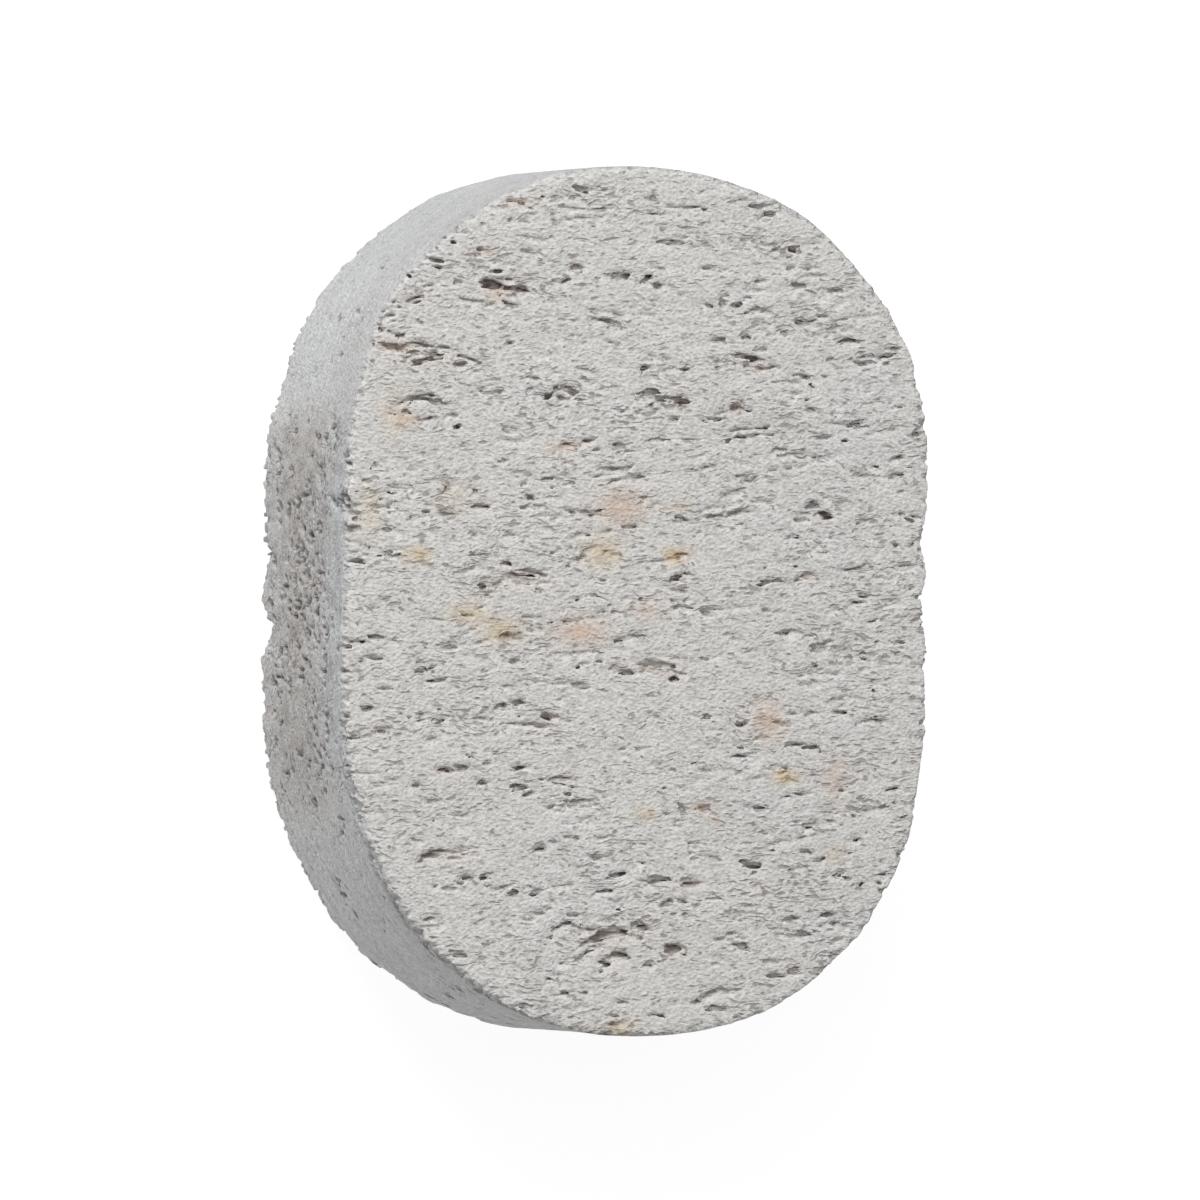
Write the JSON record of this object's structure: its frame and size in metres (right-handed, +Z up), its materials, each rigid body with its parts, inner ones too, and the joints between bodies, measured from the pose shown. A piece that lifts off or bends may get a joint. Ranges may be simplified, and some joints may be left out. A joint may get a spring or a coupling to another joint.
{
  "type": "pumice stone",
  "caption": "Flat oval bar of natural pumice with sawn faces, open stretched pores and a worn rim, held in the hand to rub rough skin smooth.",
  "frame": {"origin": "bottom centre of the stone's box, on the surface that it lies on", "axes": "+X across the width, along the fibres of the stone; +Y along the length; +Z up, the front face's normal"},
  "size_m": [0.0646, 0.09, 0.026],
  "materials": {
    "pumice": "matt, open-pored, pale warm grey with darker pores and faint ochre stains"
  },
  "bodies": {
    "root": {"pumice_stone": "pumice"}
  },
  "joints": []
}
